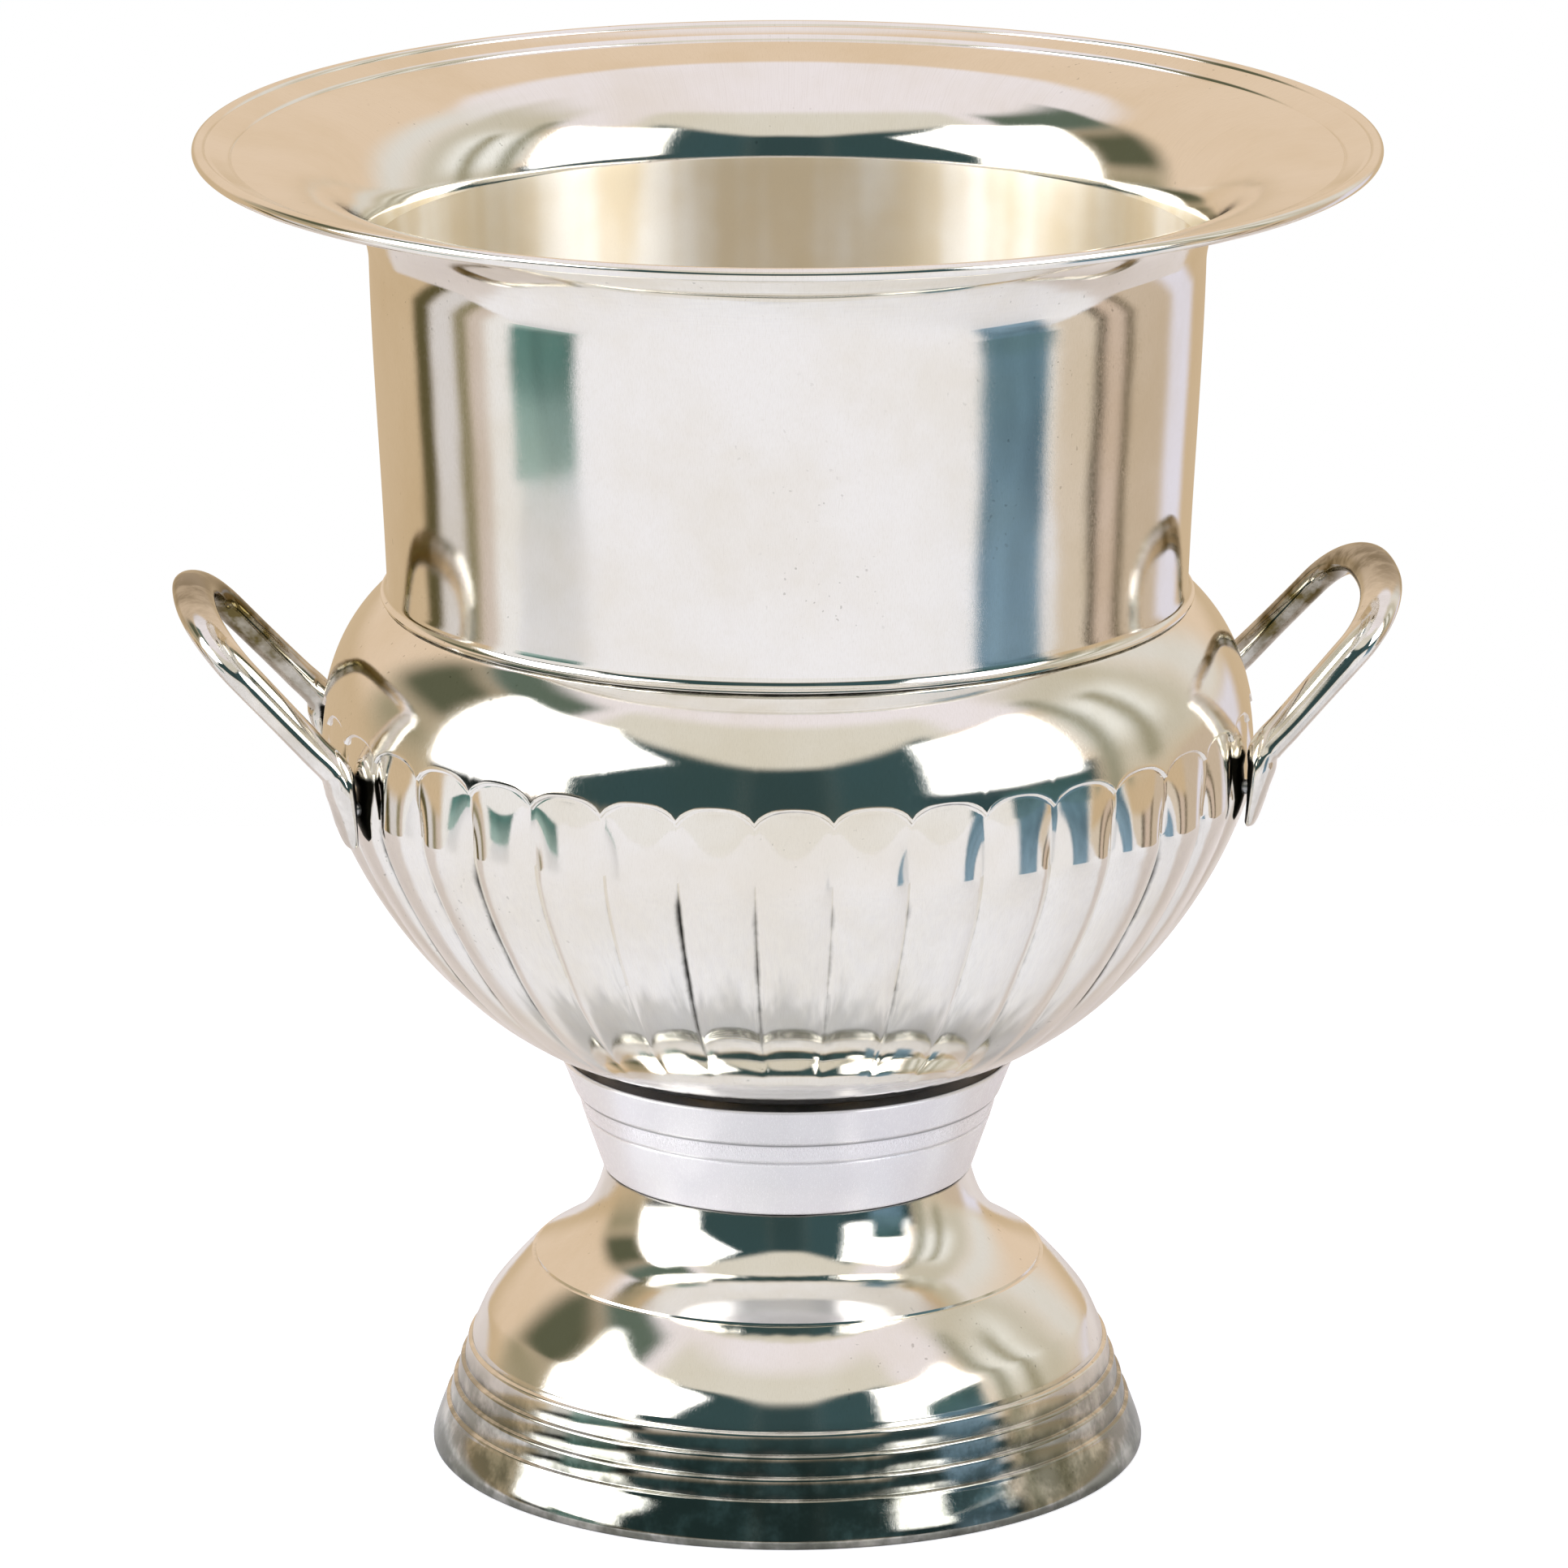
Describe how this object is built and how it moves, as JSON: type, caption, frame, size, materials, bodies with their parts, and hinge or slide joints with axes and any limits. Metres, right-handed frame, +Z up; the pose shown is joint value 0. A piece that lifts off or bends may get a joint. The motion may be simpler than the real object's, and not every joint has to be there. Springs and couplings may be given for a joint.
{
  "type": "champagne bucket",
  "caption": "Urn-shaped silver-plated champagne bucket: flared brim, straight neck, fluted bowl, two fixed loop handles, satin collar and stepped dome foot.",
  "frame": {"origin": "middle of the foot's standing face, on the bucket's axis", "axes": "+Z up along the bucket's axis, +X and -X through the two handles"},
  "size_m": [0.242, 0.2322, 0.2662],
  "materials": {
    "polished_silver": "polished silver plate",
    "satin_silver": "satin silver plate",
    "bare_brass": "unplated brass",
    "plain_steel": "zinc-plated steel"
  },
  "bodies": {
    "root": {"neck_shell": "polished_silver", "rim_wire": "bare_brass", "bowl_shell": "polished_silver", "handle_left": "polished_silver", "handle_right": "polished_silver", "handle_screws": "plain_steel", "screw_washers": "plain_steel", "collar": "satin_silver", "stud_plate": "bare_brass", "centre_stud": "plain_steel", "foot_shell": "polished_silver", "foot_edge_wire": "bare_brass", "clamp_plate": "bare_brass", "lock_washer": "plain_steel", "hex_nut": "plain_steel"}
  },
  "joints": []
}
